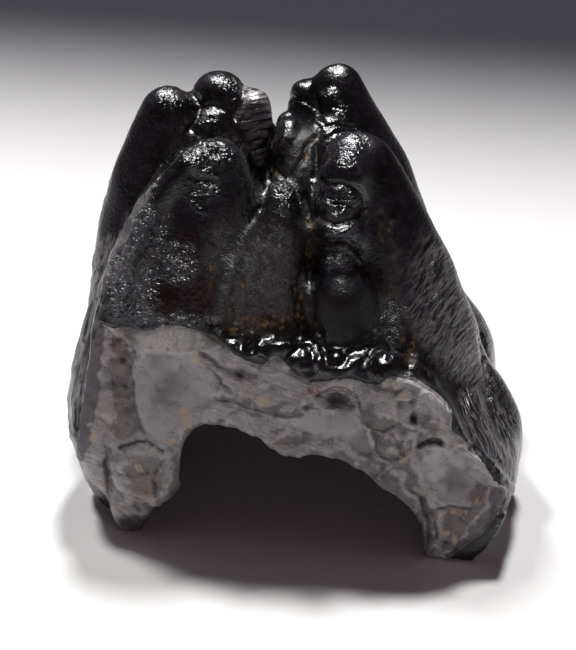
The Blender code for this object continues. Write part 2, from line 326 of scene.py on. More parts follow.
# Parts of the broken face, by their outlines.
# The broken enamel's bevel: pale of itself, and made paler with painted light where it catches the light.
ENAMEL_BEVEL = (
    (108, 328), (129, 327), (143, 330), (154, 331), (162, 325), (181, 326), (202, 332), (215, 337),
    (226, 345), (214, 350), (196, 351), (176, 352), (155, 351), (141, 349), (130, 343), (118, 335),
)
ENAMEL_BAND = (
    (87, 322), (103, 322), (102, 350), (99, 380), (96, 410), (90, 440), (82, 462), (74, 452), (79, 420),
    (84, 385), (86, 350),
)
PINK_BAND = (
    (101, 326), (110, 332), (113, 350), (112, 380), (114, 410), (108, 440), (97, 440), (97, 410),
    (101, 370),
)
BROWN_COLUMN = (
    (113, 336), (128, 345), (132, 362), (131, 385), (134, 405), (139, 428), (124, 444), (114, 436),
    (114, 400), (112, 370),
)
SMOOTH_PARTS = (
    ((136, 350), (150, 353), (190, 353), (200, 366), (212, 380), (222, 400), (200, 409), (185, 415),
     (177, 430), (166, 447), (150, 440), (140, 412), (134, 380)),
    ((312, 412), (358, 412), (370, 434), (378, 455), (362, 452), (330, 440), (270, 420)),
    ((432, 448), (448, 450), (464, 468), (478, 490), (470, 505), (444, 500), (424, 478), (420, 462)),
    ((322, 394), (338, 391), (356, 398), (352, 406), (326, 408)),
)
LEG_CRUST = (
    (466, 490), (478, 483), (490, 487), (486, 505), (474, 522), (456, 545), (442, 552), (444, 538),
    (462, 520), (470, 505),
)
RIGHT_BAND = (
    (490, 486), (508, 486), (506, 506), (488, 534), (466, 550), (446, 560), (444, 554), (462, 540),
    (478, 522), (488, 506),
)
INNER_WALL = ((408, 486), (424, 494), (437, 508), (438, 552), (424, 556), (416, 530), (418, 500))

# Parts of the enamel, by their outlines. The two edges are open lines, which the flanks' strands follow.
LEFT_FLANK = (
    (100, 318), (92, 330), (86, 350), (84, 385), (78, 420), (74, 456), (60, 440), (54, 400), (66, 340),
    (80, 290), (98, 236), (124, 232), (116, 262), (106, 296),
)
# The right flank, whose strokes get a painted sheen.
RIGHT_FLANK = (
    (424, 240), (446, 240), (470, 300), (486, 350), (500, 388), (470, 388), (444, 372), (424, 345),
    (410, 310), (412, 270),
)
# Where the ridges round the pits get a painted highlight.
PIT_SHEEN_PATCH = (
    (128, 214), (142, 220), (138, 260), (150, 290), (158, 322), (140, 326), (112, 326), (104, 312),
    (116, 268),
)
LEFT_EDGE = ((118, 200), (104, 250), (86, 310), (72, 360), (62, 400), (61, 430), (70, 465))
RIGHT_EDGE = (
    (488, 350), (496, 378), (503, 400), (518, 431), (526, 460), (526, 480), (518, 500), (503, 520),
    (480, 540), (455, 556),
)
NET = (
    (432, 380), (450, 378), (475, 386), (500, 388), (516, 420), (534, 460), (528, 500), (508, 530),
    (488, 548), (492, 524), (506, 508), (509, 488), (496, 470), (481, 446), (468, 436), (462, 420),
    (446, 398),
)
BLACK_GAP = (
    (404, 372), (426, 372), (446, 376), (458, 384), (462, 405), (462, 425), (452, 424), (444, 400),
    (428, 386),
)
BEAD_BAND = (
    (222, 326), (236, 330), (262, 334), (300, 332), (340, 330), (380, 338), (404, 345), (414, 372),
    (396, 373), (378, 384), (350, 378), (304, 378), (264, 364), (236, 355), (226, 344),
)
CREST_STRIP = (
    (160, 166), (163, 170), (152, 192), (143, 210), (132, 236), (124, 268), (112, 290), (102, 300),
    (110, 262), (124, 228), (136, 202), (150, 182),
)
MATT_PATCH = (
    (218, 226), (236, 216), (256, 228), (276, 224), (296, 240), (300, 280), (292, 318), (262, 330),
    (232, 326), (216, 300), (212, 260),
)
FAR_LOBE_SIDE = (
    (246, 82), (258, 84), (268, 98), (274, 116), (268, 140), (266, 166), (256, 160), (249, 140), (238, 118),
    (241, 98),
)
DARK_BUMP = ((479, 330), (494, 340), (506, 366), (508, 396), (498, 392), (491, 372), (483, 350))

# Wrinkled, knobbly and pitted spots of the enamel: (picture point, radii in pixels).
WRINKLED = (
    ((200, 190), (26, 14)), ((283, 200), (18, 20)), ((338, 255), (26, 14)), ((340, 114), (9, 14)),
    ((170, 102), (16, 10)), ((340, 230), (28, 10)), ((234, 90), (8, 12)),
)
KNOBBLY = (
    ((211, 156), (34, 19)), ((349, 155), (16, 17)), ((284, 194), (14, 17)), ((340, 203), (24, 13)),
    ((334, 261), (18, 8)), ((330, 97), (12, 8)), ((207, 121), (14, 10)), ((172, 102), (14, 7)),
    ((228, 84), (12, 8)),
)
PITTED = (
    ((132, 285), (32, 52)), ((150, 228), (22, 30)), ((176, 322), (30, 12)), ((180, 262), (20, 26)),
    ((390, 320), (20, 26)),
)

# Spots of the broken face: (picture point, radius or radii in pixels).
OCHRE_SPOTS = (
    ((187, 420), (8, 13)), ((182, 411), 6), ((192, 432), 6), ((171, 443), 5), ((226, 436), 6),
    ((240, 439), 5), ((254, 444), 5), ((213, 342), 8), ((205, 338), 5), ((193, 362), 5), ((263, 403), 8),
    ((346, 388), 4), ((402, 397), 6), ((402, 459), 5), ((93, 436), 6), ((90, 424), 4), ((457, 511), 6),
    ((454, 540), 6), ((446, 534), 4), ((445, 512), 4), ((478, 500), 6), ((320, 459), 4), ((345, 470), 4),
    ((152, 503), 4), ((160, 470), 4), ((418, 446), 5), ((138, 468), 5), ((150, 455), 4), ((176, 462), 4),
    ((395, 385), 5), ((281, 446), 4),
)
RUST_SPOTS = (
    ((312, 389), 6), ((319, 387), 4), ((352, 392), 5), ((402, 452), 5), ((407, 447), 4), ((446, 528), 5),
    ((470, 498), 6), ((462, 512), 6), ((483, 500), 5), ((129, 400), 4), ((126, 352), 5), ((120, 344), 6),
    ((135, 503), 4), ((463, 442), 5), ((452, 446), 4), ((130, 460), 5), ((145, 490), 5),
)
# Painted shade in the broken face's holes, and darker at the bottom of the left foot.
DARK_SPOTS = (((414, 420), (5, 7)), ((107, 472), (4, 30)), ((337, 399), (16, 7)), ((134, 523), (28, 14)))
BROWN_LUMPS = (((147, 476), (32, 28)), ((108, 470), (7, 40)), ((452, 522), (14, 20)))
PINK_SPOTS = (((268, 403), (14, 11)),)

# Spots of the enamel. The last spots and the groove are painted shade: black, and with little gloss.
EARTH_SPOTS = (
    ((182, 124), 6), ((208, 269), 5), ((211, 289), 6), ((243, 284), 5), ((230, 308), 6), ((206, 328), 5),
    ((142, 258), 3), ((137, 303), 3), ((388, 227), 5), ((410, 341), 8), ((411, 354), 8), ((400, 342), 4),
    ((298, 300), 7), ((299, 318), 9), ((285, 326), 9), ((268, 322), 9), ((250, 320), 8), ((235, 328), 7),
    ((312, 240), 5), ((308, 262), 6), ((284, 150), 8), ((302, 158), 5), ((240, 340), 4), ((394, 344), 4),
    ((246, 150), 5), ((238, 140), 4), ((311, 141), 4), ((304, 154), 4), ((296, 168), 4),
)
PLUM_SPOTS = (
    ((188, 250), (17, 32)), ((164, 300), (24, 28)), ((200, 296), (22, 30)), ((334, 305), (22, 20)),
    ((160, 150), (14, 12)), ((178, 138), (10, 10)), ((262, 312), (30, 18)),
)
# Dusty spots, whose grey is also a painted sheen.
DUST_AND_SHEEN_SPOTS = (
    ((392, 325), (15, 26)), ((242, 202), (10, 18)), ((216, 250), (20, 26)), ((306, 236), (7, 40)),
    ((345, 215), (34, 12)), ((395, 275), (10, 40)),
)
SHADE_DULL_SPOTS = (((304, 140), (14, 28)), ((294, 172), (12, 14)), ((346, 316), (44, 34)))
SHADE_DULL_GROOVE = ((258, 216), (248, 230), (236, 246), (224, 264))


# ---------------- small tools


BACK = np.array((0.0, -math.cos(CAMERA_ELEVATION), math.sin(CAMERA_ELEVATION)))
CAMERA_PLACE = CAMERA_TARGET + BACK * CAMERA_DISTANCE
CAMERA_UP = np.array((0.0, math.sin(CAMERA_ELEVATION), math.cos(CAMERA_ELEVATION)))


def picture_of(points):
    """Picture points (u, v) of points in millimetres."""
    away = points - CAMERA_PLACE
    depth = -(away @ BACK)
    u = PICTURE_WIDTH / 2 + FOCAL_PIXELS * away[:, 0] / depth
    v = PICTURE_HEIGHT / 2 - FOCAL_PIXELS * (away @ CAMERA_UP) / depth
    return np.stack((u, v), axis=1)


def ray_through(u, v):
    """Unit direction from the camera through a picture point."""
    aside = (u - PICTURE_WIDTH / 2) / FOCAL_PIXELS
    above = (PICTURE_HEIGHT / 2 - v) / FOCAL_PIXELS
    ray = -BACK + aside * np.array((1.0, 0.0, 0.0)) + above * CAMERA_UP
    return ray / np.linalg.norm(ray)


def seen_at(tree, u, v):
    """The surface point, in millimetres, that the camera sees at a picture point."""
    hit = tree.ray_cast(Vector(CAMERA_PLACE * MM), Vector(ray_through(u, v)))[0]
    return np.array(hit) / MM


def smoothstep(low, high, value):
    t = np.clip((value - low) / (high - low), 0.0, 1.0)
    return t * t * (3 - 2 * t)


def scatter(cells, seed):
    """A repeatable number from 0 to 1 for each whole-numbered cell."""
    x, y, z = (cells[..., k].astype(np.int64) for k in range(3))
    n = (x * 73856093) ^ (y * 19349663) ^ (z * 83492791) ^ (seed * 49979687 + 1013904223)
    n = (n ^ (n >> 13)) * 1274126177
    n = (n ^ (n >> 16)) * 668265263
    return ((n ^ (n >> 15)) & 0xFFFFFF) / 0xFFFFFF


def noise(points, seed):
    """Smooth noise from -1 to 1, with features about one unit across: at points / 7, they are 7 mm."""
    cell = np.floor(points)
    part = points - cell
    fade = part**3 * (part * (part * 6 - 15) + 10)
    total = np.zeros(len(points))
    for corner in range(8):
        step = np.array((corner & 1, corner >> 1 & 1, corner >> 2 & 1))
        weight = np.prod(np.where(step, fade, 1 - fade), axis=1)
        total += weight * scatter(cell + step, seed)
    return total * 2 - 1


def ridged(points, seed, sharpness=2.5):
    """Noise with sharp ridges at 1, falling below 0 between them."""
    return 1 - sharpness * np.abs(noise(points, seed))


def layers(points, seed, count):
    """Noise with finer and weaker layers on top."""
    total = np.zeros(len(points))
    for k in range(count):
        total += noise(points * 2.03**k + 7.1 * k, seed + k) * 0.5**k
    return total / (2 - 0.5 ** (count - 1))


def cells(points, seed):
    """Distances to the nearest two of points strewn one to each unit cell, and a number for the nearest."""
    base = np.floor(points)
    first = np.full(len(points), 9.0)
    second = np.full(len(points), 9.0)
    label = np.zeros(len(points))
    for k in range(27):
        cell = base + np.array((k % 3 - 1, k // 3 % 3 - 1, k // 9 - 1))
        spot = cell + np.stack([scatter(cell, seed + j) for j in range(3)], axis=1)
        far = np.linalg.norm(points - spot, axis=1)
        nearer = far < first
        second = np.where(nearer, first, np.minimum(second, far))
        label = np.where(nearer, scatter(cell, seed + 3), label)
        first = np.where(nearer, far, first)
    return first, second, label


def distance_to_line(flat, line):
    """Distance of flat points to an open line of picture points."""
    nearest = np.full(len(flat), 1e9)
    for a, b in zip(line[:-1], line[1:]):
        a, b = np.array(a, float), np.array(b, float)
        along = np.clip((flat - a) @ (b - a) / ((b - a) @ (b - a)), 0, 1)
        nearest = np.minimum(nearest, np.linalg.norm(flat - a - along[:, None] * (b - a), axis=1))
    return nearest


def inside(flat, outline):
    """Whether flat points are within a closed outline of picture points."""
    within = np.zeros(len(flat), bool)
    u, v = flat[:, 0], flat[:, 1]
    for (u0, v0), (u1, v1) in zip(outline, outline[1:] + outline[:1]):
        if v0 == v1:
            continue
        crosses = (v0 > v) != (v1 > v)
        within ^= crosses & (u < u0 + (v - v0) / (v1 - v0) * (u1 - u0))
    return within


def patch(flat, outline, soft):
    """1 within a closed outline of picture points and 0 outside it, with an edge soft pixels wide."""
    far = distance_to_line(flat, outline + outline[:1])
    return smoothstep(-soft, soft, np.where(inside(flat, outline), far, -far))


def patches(flat, outlines, soft):
    """1 within any of several outlines."""
    return np.max([patch(flat, outline, soft) for outline in outlines], axis=0)


def stroke(flat, line, width):
    """1 on a line of picture points, fading on both sides."""
    return np.exp(-((distance_to_line(flat, line) / width) ** 2))


def strokes(flat, lines):
    """The strongest of several strokes: each line is (picture points, width, strength, ...)."""
    total = np.zeros(len(flat))
    for line, width, strength, *_ in lines:
        total = np.maximum(total, strength * stroke(flat, line, width))
    return total


def oval(flat, centre, radii, lean=0.0):
    """Distance from an oval's centre, as a share of its radii. Lean turns the oval, in degrees."""
    turn = math.radians(lean)
    du, dv = flat[:, 0] - centre[0], flat[:, 1] - centre[1]
    along = du * math.cos(turn) + dv * math.sin(turn)
    across = dv * math.cos(turn) - du * math.sin(turn)
    return np.hypot(along / radii[0], across / radii[1])


def spots(flat, places):
    """1 at the middle of each spot, 0 at its edge."""
    mask = np.zeros(len(flat))
    for centre, radius in places:
        radii = radius if isinstance(radius, tuple) else (radius, radius)
        mask = np.maximum(mask, smoothstep(1.25, 0.3, oval(flat, centre, radii)))
    return mask


def far_from_edges(flat):
    """Distance in pixels from the crown's edges, which the strands follow."""
    return np.minimum(distance_to_line(flat, LEFT_EDGE), distance_to_line(flat, RIGHT_EDGE))


# ---------------- the surface mesh


def apply_modifiers(obj):
    shown = obj.evaluated_get(bpy.context.evaluated_depsgraph_get())
    mesh = bpy.data.meshes.new_from_object(shown)
    obj.modifiers.clear()
    obj.data = mesh


def tree_of(obj):
    return BVHTree.FromObject(obj, bpy.context.evaluated_depsgraph_get())


def read(items, name, width, kind):
    """One property of a mesh's vertices or edges, with a row for each."""
    flat = np.empty(len(items) * width, kind)
    items.foreach_get(name, flat)
    return flat.reshape(-1, width)


def spread(values, pairs, rounds):
    """Values averaged with their neighbours' along the mesh's edges."""
    columns = np.array(values.reshape(len(values), -1).T, float)
    first, second = pairs.T
    count = np.maximum(np.bincount(pairs.ravel(), minlength=len(values)).astype(float), 1)
    for _ in range(rounds):
        for k, column in enumerate(columns):
            added = np.bincount(first, column[second], len(column))
            added += np.bincount(second, column[first], len(column))
            columns[k] = 0.5 * column + 0.5 * added / count
    return columns.T.reshape(values.shape)


def rounded_copy(node):
    """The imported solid's mesh as a new object, with its flat faces rounded."""
    obj = bpy.data.objects.new("molar_surface", node.data.copy())
    bpy.context.scene.collection.objects.link(obj)
    bm = bmesh.new()
    bm.from_mesh(obj.data)
    bmesh.ops.remove_doubles(bm, verts=bm.verts, dist=1e-6)
    bm.to_mesh(obj.data)
    bm.free()
    obj.data.materials.clear()
    rounding = obj.modifiers.new("rounding", "SUBSURF")
    rounding.levels = rounding.render_levels = 2
    apply_modifiers(obj)
    return obj


def along(line):
    """Picture points close together along a line."""
    places = [line[0]]
    for (u0, v0), (u1, v1) in zip(line[:-1], line[1:]):
        count = math.ceil(math.dist((u0, v0), (u1, v1)) / CORD_STEP)
        places += [(u0 + (u1 - u0) * k / count, v0 + (v1 - v0) * k / count) for k in range(1, count + 1)]
    return places


def add_cords(obj):
    """Rows of balls, close enough to make cords once they are one skin with the crown."""
    tree = tree_of(obj)
    bm = bmesh.new()
    bm.from_mesh(obj.data)
    for line, radius, sink in CORDS:
        for u, v in along(line):
            centre = (seen_at(tree, u, v) + ray_through(u, v) * sink) * MM
            place = Matrix.Translation(Vector(centre))
            bmesh.ops.create_icosphere(bm, subdivisions=2, radius=radius * MM, matrix=place)
    bm.to_mesh(obj.data)
    bm.free()


def one_skin(obj):
    """Joins the crown and the cords that cross it into one closed surface."""
    remesh = obj.modifiers.new("one_skin", "REMESH")
    remesh.mode = "VOXEL"
    remesh.voxel_size = VOXEL * MM
    soften = obj.modifiers.new("soften", "SMOOTH")
    soften.iterations = 2
    apply_modifiers(obj)


class Surface:
    """What the carving and the colours need to know about each point of the mesh."""

    def __init__(self, obj):
        mesh = obj.data
        self.points = read(mesh.vertices, "co", 3, np.float32).astype(float) / MM
        self.normals = read(mesh.vertex_normals, "vector", 3, np.float32).astype(float)
        self.pairs = read(mesh.edges, "vertices", 2, np.int32)
        self.flat = picture_of(self.points)
        wobble = np.stack([noise(self.points / WAVE, seed) for seed in (61, 62)], axis=1)
        self.wavy = self.flat + WAVY_BY * wobble
        self.ragged = self.flat + RAGGED_BY * wobble
        self.seen = self.find_seen(tree_of(obj))
        towards = CAMERA_PLACE - self.points
        towards /= np.linalg.norm(towards, axis=1)[:, None]
        self.facing = smoothstep(0.05, 0.40, np.sum(towards * self.normals, axis=1))
        self.broken = self.find_broken()
        self.hollow = self.find_hollow()
        self.rim = self.find_rim()
        self.fracture = np.clip(self.broken + self.hollow + self.rim, 0, 1)

    def find_seen(self, tree):
        """1 where nothing hides a point from the camera."""
        start = Vector(CAMERA_PLACE * MM)
        towards = self.points - CAMERA_PLACE
        far = np.linalg.norm(towards, axis=1)
        shown = np.zeros(len(far))
        for k, (x, y, z) in enumerate((towards / far[:, None]).tolist()):
            hit = tree.ray_cast(start, Vector((x, y, z)))[3]
            shown[k] = hit is not None and hit / MM > far[k] - SEEN_WITHIN
        return spread(shown, self.pairs, 3)

    def find_broken(self):
        """1 on the broken face."""
        x, y, z = self.points.T
        off_plane = y - (BREAK_Y + BREAK_ACROSS * x + BREAK_UP * z)
        near = smoothstep(*BREAK_REACH, np.abs(off_plane))
        return near * patch(self.flat, BREAK_OUTLINE, 1.5) * smoothstep(0.2, 0.6, self.seen)

    def find_hollow(self):
        """1 in the hollow under the crown, which gets painted shade: low, within its walls, and facing its
        middle line.
        """
        x, y, z = self.points.T
        aside, above = x - HOLLOW_X, z - HOLLOW_Z
        facing = smoothstep(0.0, 2.0, -aside * self.normals[:, 0] - above * self.normals[:, 2])
        within = smoothstep(*HOLLOW_HALF_WIDTH, np.abs(aside)) * smoothstep(*HOLLOW_TOP, z)
        return facing * (within * smoothstep(*HOLLOW_BACK, y))

    def find_rim(self):
        """1 on the ragged lower edge."""
        return smoothstep(*RIM_LEAN, self.normals[:, 2]) * smoothstep(*RIM_TOP, self.points[:, 2])


# ---------------- relief


def growth_wrinkles(points):
    """Fine ridges that run round the crown, as the enamel's growth lines do."""
    x, y, z = points.T
    bent = np.stack((x, y, z + 1.6 * noise(points / 7, 11) + 0.5 * noise(points / 2.6, 12)), axis=1)
    return 0.6 * ridged(bent / (2.6, 2.6, 0.85), 13, 2.2) + 0.5 * noise(bent / (4.5, 4.5, 1.7), 14)


def bulges_relief(flat):
    relief = np.zeros(len(flat))
    for centre, radii, lean, height in BULGES:
        within = np.clip(1 - oval(flat, centre, radii, lean) ** 2, 0, 1)
        relief += height * within**1.3
    return relief


def textures(surface):
    """How wrinkled and how pitted the enamel is: by the lists where it is seen, and in patches elsewhere."""
    shares = []
    for places, size, full, seed in ((WRINKLED, 7, 0.6, 22), (PITTED, 9, 0.5, 25)):
        elsewhere = smoothstep(0.1, full, noise(surface.points / size, seed))
        shares.append(surface.seen * spots(surface.ragged, places) + (1 - surface.seen) * elsewhere)
    return shares


def enamel_relief(surface):
    points, flat, seen = surface.points, surface.flat, surface.seen
    wrinkled, pitted = textures(surface)
    relief = UNEVEN * noise(points / 6.5, 23)
    relief += (LEAST_WRINKLE + WRINKLE * wrinkled + PIT_WRINKLE * pitted) * growth_wrinkles(points)
    relief += PIT * pitted * layers(points / 1.7, 21, 2)
    relief += KNOB * seen * spots(surface.ragged, KNOBBLY) * ridged(points / 1.25, 29, 2.6)
    relief += seen * (bulges_relief(surface.wavy) - strokes(surface.wavy, CREASES))
    relief += seen * strokes(surface.wavy, RIDGES)
    barky = np.maximum(0.3 * patch(flat, NET, 5) * surface.facing, patch(flat, LEFT_FLANK, 5)) * seen
    far = far_from_edges(flat)
    bark = np.stack((far / 6, flat[:, 1] / 35, np.zeros(len(far))), axis=1)
    relief += barky * STRAND * ridged(bark + 0.3 * noise(points / 2, 27)[:, None], 26)
    relief += patch(surface.ragged, BEAD_BAND, 4) * seen * FOLD * ridged(points / 1.5, 30)
    return relief


def swells_relief(surface, tree):
    relief = np.zeros(len(surface.points))
    for (u, v), reach, height in SWELLS:
        far = np.linalg.norm(surface.points - seen_at(tree, u, v), axis=1)
        relief += height * smoothstep(reach, 0, far) * np.clip(1.5 * surface.normals[:, 0], 0, 1)
    return relief


def dents_relief(flat):
    relief = np.zeros(len(flat))
    for centre, radii, lean, depth in DENTS:
        far = oval(flat, centre, radii, lean)
        shape = np.exp(-1.8 * far**2) if depth > 0 else smoothstep(1.1, 0.75, far)
        relief -= depth * shape
    return relief


def flakes_relief(points, seed, height, edge):
    """Flat flakes at uneven heights, one for each cell, with sloping edges."""
    first, second, label = cells(points, seed)
    return (label - 0.5) * height * smoothstep(0.0, edge, second - first)


def broken_relief(surface):
    points, broken = surface.points, surface.broken
    polished = patches(surface.ragged, SMOOTH_PARTS + (ENAMEL_BEVEL,), 3) * broken
    bent = points + 0.8 * np.stack([noise(points / 3, seed) for seed in (31, 32, 33)], axis=1)
    flakes = flakes_relief(bent / 5.0, 34, FLAKE, 0.2)
    chips = flakes_relief(bent / 1.9, 38, CHIP, 0.25)
    relief = (1 - 0.9 * polished) * (flakes + chips + GRIT * layers(points / 2.0, 43, 4))
    column = patch(surface.ragged, BROWN_COLUMN, 3) * broken
    relief += column * (COLUMN_RISE + COLUMN_STEP * noise(points / (4, 4, 0.8), 47))
    bevel = patch(surface.flat, ENAMEL_BEVEL, 2) * broken
    relief += bevel * BEVEL_COMB * noise(points / (0.9, 3, 5), 48)
    relief += broken * (dents_relief(surface.ragged) - strokes(surface.wavy, CRACKS))
    relief += broken * strokes(surface.wavy, PALE_LINES)
    return relief


def carve(obj):
    surface = Surface(obj)
    fracture = surface.fracture
    depth = (1 - fracture) * enamel_relief(surface) + fracture * broken_relief(surface)
    edge = stroke(surface.wavy, BREAK_CORNER + BREAK_EDGE, 3.5) * surface.seen
    depth += edge * ((1 - fracture) * EDGE_RISE - fracture * EDGE_DROP)
    depth += swells_relief(surface, tree_of(obj))
    points = surface.points + surface.normals * depth[:, None]
    points[:, 2] = np.maximum(points[:, 2], 0.0)
    obj.data.vertices.foreach_set("co", (points * MM).astype(np.float32).ravel())
    obj.data.update()


def thin_out(obj):
    """Takes triangles away where the surface is plain, to stay within the count."""
    obj.data.calc_loop_triangles()
    count = len(obj.data.loop_triangles)
    fewer = obj.modifiers.new("fewer", "DECIMATE")
    fewer.ratio = min(1.0, MOST_TRIANGLES / count)
    apply_modifiers(obj)


# ---------------- colours


def enamel_masks(surface):
    """Where each kind of enamel, painted sheen and painted shade lies. Unseen points have only the masks at the
    end.
    """
    flat, wavy, ragged, seen = surface.flat, surface.wavy, surface.ragged, surface.seen
    smooth = spread(surface.points, surface.pairs, SMOOTHING)
    sunk = np.sum((smooth - surface.points) * surface.normals, axis=1)
    crease = smoothstep(*CREASE_DEPTH, sunk)
    muddy_creases = [(line, 1.3 * width, amount) for line, width, _, amount in CREASES]
    earth = np.maximum(spots(ragged, EARTH_SPOTS), strokes(wavy, muddy_creases))
    wrinkled, pitted = textures(surface)
    pictured = {
        "plum": spots(ragged, PLUM_SPOTS),
        "dust_and_sheen": spots(ragged, DUST_AND_SHEEN_SPOTS),
        "matt": patch(ragged, MATT_PATCH, 14),
        "wet": patch(ragged, BEAD_BAND, 3),
        "lip": stroke(flat, BREAK_EDGE, 5) * (1 - surface.fracture),
        "shade_dull": 0.75 * np.maximum(spots(ragged, SHADE_DULL_SPOTS), stroke(wavy, SHADE_DULL_GROOVE, 8)),
        "pit_sheen": patch(ragged, PIT_SHEEN_PATCH, 8),
        "knobbly": spots(ragged, KNOBBLY),
        # Worn pale enamel and painted sheen, on the left flank and the crest strip.
        "worn_and_sheen": np.maximum(0.8 * patch(ragged, LEFT_FLANK, 5), 0.5 * patch(flat, CREST_STRIP, 1.5)),
        "striped": patch(ragged, FAR_LOBE_SIDE, 3),
        "stroked": patch(ragged, RIGHT_FLANK, 18),
        "net": 0.7 * patch(ragged, NET, 5) * surface.facing,
        "black": np.maximum(patch(flat, DARK_BUMP, 2), patch(ragged, BLACK_GAP, 4)),
    }
    return {name: mask * seen for name, mask in pictured.items()} | {
        "earth": np.maximum(earth * seen * (1 - surface.broken), 0.15 * crease),
        "wrinkled": wrinkled,
        "pitted": pitted,
        # How far each point is sunk, which the broken face darkens with painted shade.
        "crease": crease,
        "crest_highlight": smoothstep(*CREST_HIGHLIGHT_HEIGHT, -sunk),
    }


def break_masks(surface):
    """Where each broken surface, painted shade and highlight lies: on the broken face and what shows of the
    hollow.
    """
    flat, ragged, broken = surface.flat, surface.ragged, surface.broken
    face = np.maximum(broken, surface.hollow * surface.seen)
    cracks = strokes(surface.wavy, [(line, width, amount) for line, width, _, amount in CRACKS])
    purple = np.maximum(patches(ragged, (ENAMEL_BAND, RIGHT_BAND), 4), 0.6 * patch(ragged, INNER_WALL, 3))
    brown = np.maximum(patches(ragged, (BROWN_COLUMN, LEG_CRUST), 3), 0.9 * spots(ragged, BROWN_LUMPS))
    return {
        "broken": surface.fracture,
        "hollow": surface.hollow,
        "purple": purple * face,
        "pink": np.maximum(0.6 * patch(ragged, PINK_BAND, 3), spots(ragged, PINK_SPOTS)) * face,
        "brown": brown * face,
        "ochre": spots(ragged, OCHRE_SPOTS) * face,
        "rust": spots(ragged, RUST_SPOTS) * face,
        # The pale bevel with painted light on it, and painted highlights along the raised lines.
        "pale": np.maximum(patch(flat, ENAMEL_BEVEL, 1.5), strokes(flat, PALE_LINES) * 1.6) * broken,
        "smooth": patches(ragged, SMOOTH_PARTS, 4) * broken,
        # Painted shade in the cracks, the holes and at the left foot's bottom.
        "crack_shade": np.maximum(0.8 * spots(ragged, DARK_SPOTS), cracks) * broken,
    }


def places_in_picture(surface):
    """Picture coordinates for the patterns that run along the picture, as shares of its height."""
    u, v = surface.flat.T / PICTURE_HEIGHT
    return {"u": u, "v": v, "far": far_from_edges(surface.flat) / PICTURE_HEIGHT}


def paint(obj):
    """Keeps the masks and the picture coordinates with the mesh, where the material reads them."""
    surface = Surface(obj)
    masks = enamel_masks(surface) | break_masks(surface) | places_in_picture(surface)
    for name, values in masks.items():
        layer = obj.data.attributes.new(name, "FLOAT", "POINT")
        layer.data.foreach_set("value", np.clip(values, 0, 1).astype(np.float32))


class Nodes:
    """Short ways to add and link a material's nodes."""

    def __init__(self, name):
        self.material = bpy.data.materials.new(name)
        self.material.use_nodes = True
        self.tree = self.material.node_tree
        self.shader = self.tree.nodes["Principled BSDF"].inputs

    def put(self, socket, value):
        if isinstance(value, bpy.types.NodeSocket):
            self.tree.links.new(value, socket)
        elif socket.type == "RGBA":
            socket.default_value = (*value, 1)
        else:
            socket.default_value = value

    def add(self, kind, inputs=None, **settings):
        """A new node. Its inputs are given by their names or numbers."""
        node = self.tree.nodes.new(kind)
        for name, value in settings.items():
            setattr(node, name, value)
        for name, value in (inputs or {}).items():
            self.put(node.inputs[name], value)
        return node

    def painted(self, name):
        return self.add("ShaderNodeAttribute", attribute_name=name).outputs["Fac"]

    def mapped(self, vector, stretch, turn):
        """A vector in a frame turned by degrees about X, Y and Z, divided by stretch."""
        turn = [math.radians(angle) for angle in turn]
        inputs = {"Vector": vector, "Rotation": turn, "Scale": stretch}
        return self.add("ShaderNodeMapping", inputs, vector_type="TEXTURE").outputs["Vector"]

    def place(self, stretch=(1, 1, 1), turn=(0, 0, 0)):
        """Object coordinates, turned and divided by stretch in mm."""
        here = self.add("ShaderNodeTexCoord").outputs["Object"]
        return self.mapped(here, [MM * size for size in stretch], turn)

    def flow(self, across, stretch, turn=0.0):
        """Painted picture coordinates, turned by degrees and divided by stretch in pixels."""
        here = self.add("ShaderNodeCombineXYZ", {"X": self.painted(across), "Y": self.painted("v")})
        stretch = (stretch[0] / PICTURE_HEIGHT, stretch[1] / PICTURE_HEIGHT, 1)
        return self.mapped(here.outputs["Vector"], stretch, (0, 0, turn))

    def noise(self, where, detail=3.0, roughness=0.5, distortion=0.0):
        inputs = {"Vector": where, "Scale": 1.0, "Detail": detail}
        inputs |= {"Roughness": roughness, "Distortion": distortion}
        return self.add("ShaderNodeTexNoise", inputs).outputs["Fac"]

    def ridges(self, where, distortion=0.0):
        """Noise with sharp ridges at 1, falling to 0 between them."""
        swing = self.math("ABSOLUTE", self.math("SUBTRACT", self.noise(where, 2, 0.5, distortion), 0.5))
        return self.math("MULTIPLY_ADD", swing, -5.0, 1.0)

    def math(self, operation, *values):
        return self.add("ShaderNodeMath", dict(enumerate(values)), operation=operation).outputs[0]

    def times(self, first, second):
        return self.math("MULTIPLY", first, second)

    def most(self, first, second):
        return self.math("MAXIMUM", first, second)

    def ramp(self, value, low, high, start=0.0, end=1.0):
        inputs = dict(enumerate((value, low, high, start, end)))
        return self.add("ShaderNodeMapRange", inputs, interpolation_type="SMOOTHSTEP").outputs["Result"]

    def mix(self, amount, first, second):
        """Colours mixed by amount."""
        return self.add("ShaderNodeMix", {0: amount, 6: first, 7: second}, data_type="RGBA").outputs[2]

    def blend(self, amount, first, second):
        """Numbers mixed by amount."""
        return self.add("ShaderNodeMix", {0: amount, 2: first, 3: second}, data_type="FLOAT").outputs[0]

    def coats(self, base, *coats, mixed=None):
        """A base with coats laid over it in turn: each is (amount, colour or number)."""
        for amount, value in coats:
            base = (mixed or self.mix)(amount, base, value)
        return base

    def part(self, name, pattern, low, high):
        """A pattern, kept to a painted mask."""
        return self.times(self.painted(name), self.ramp(pattern, low, high))


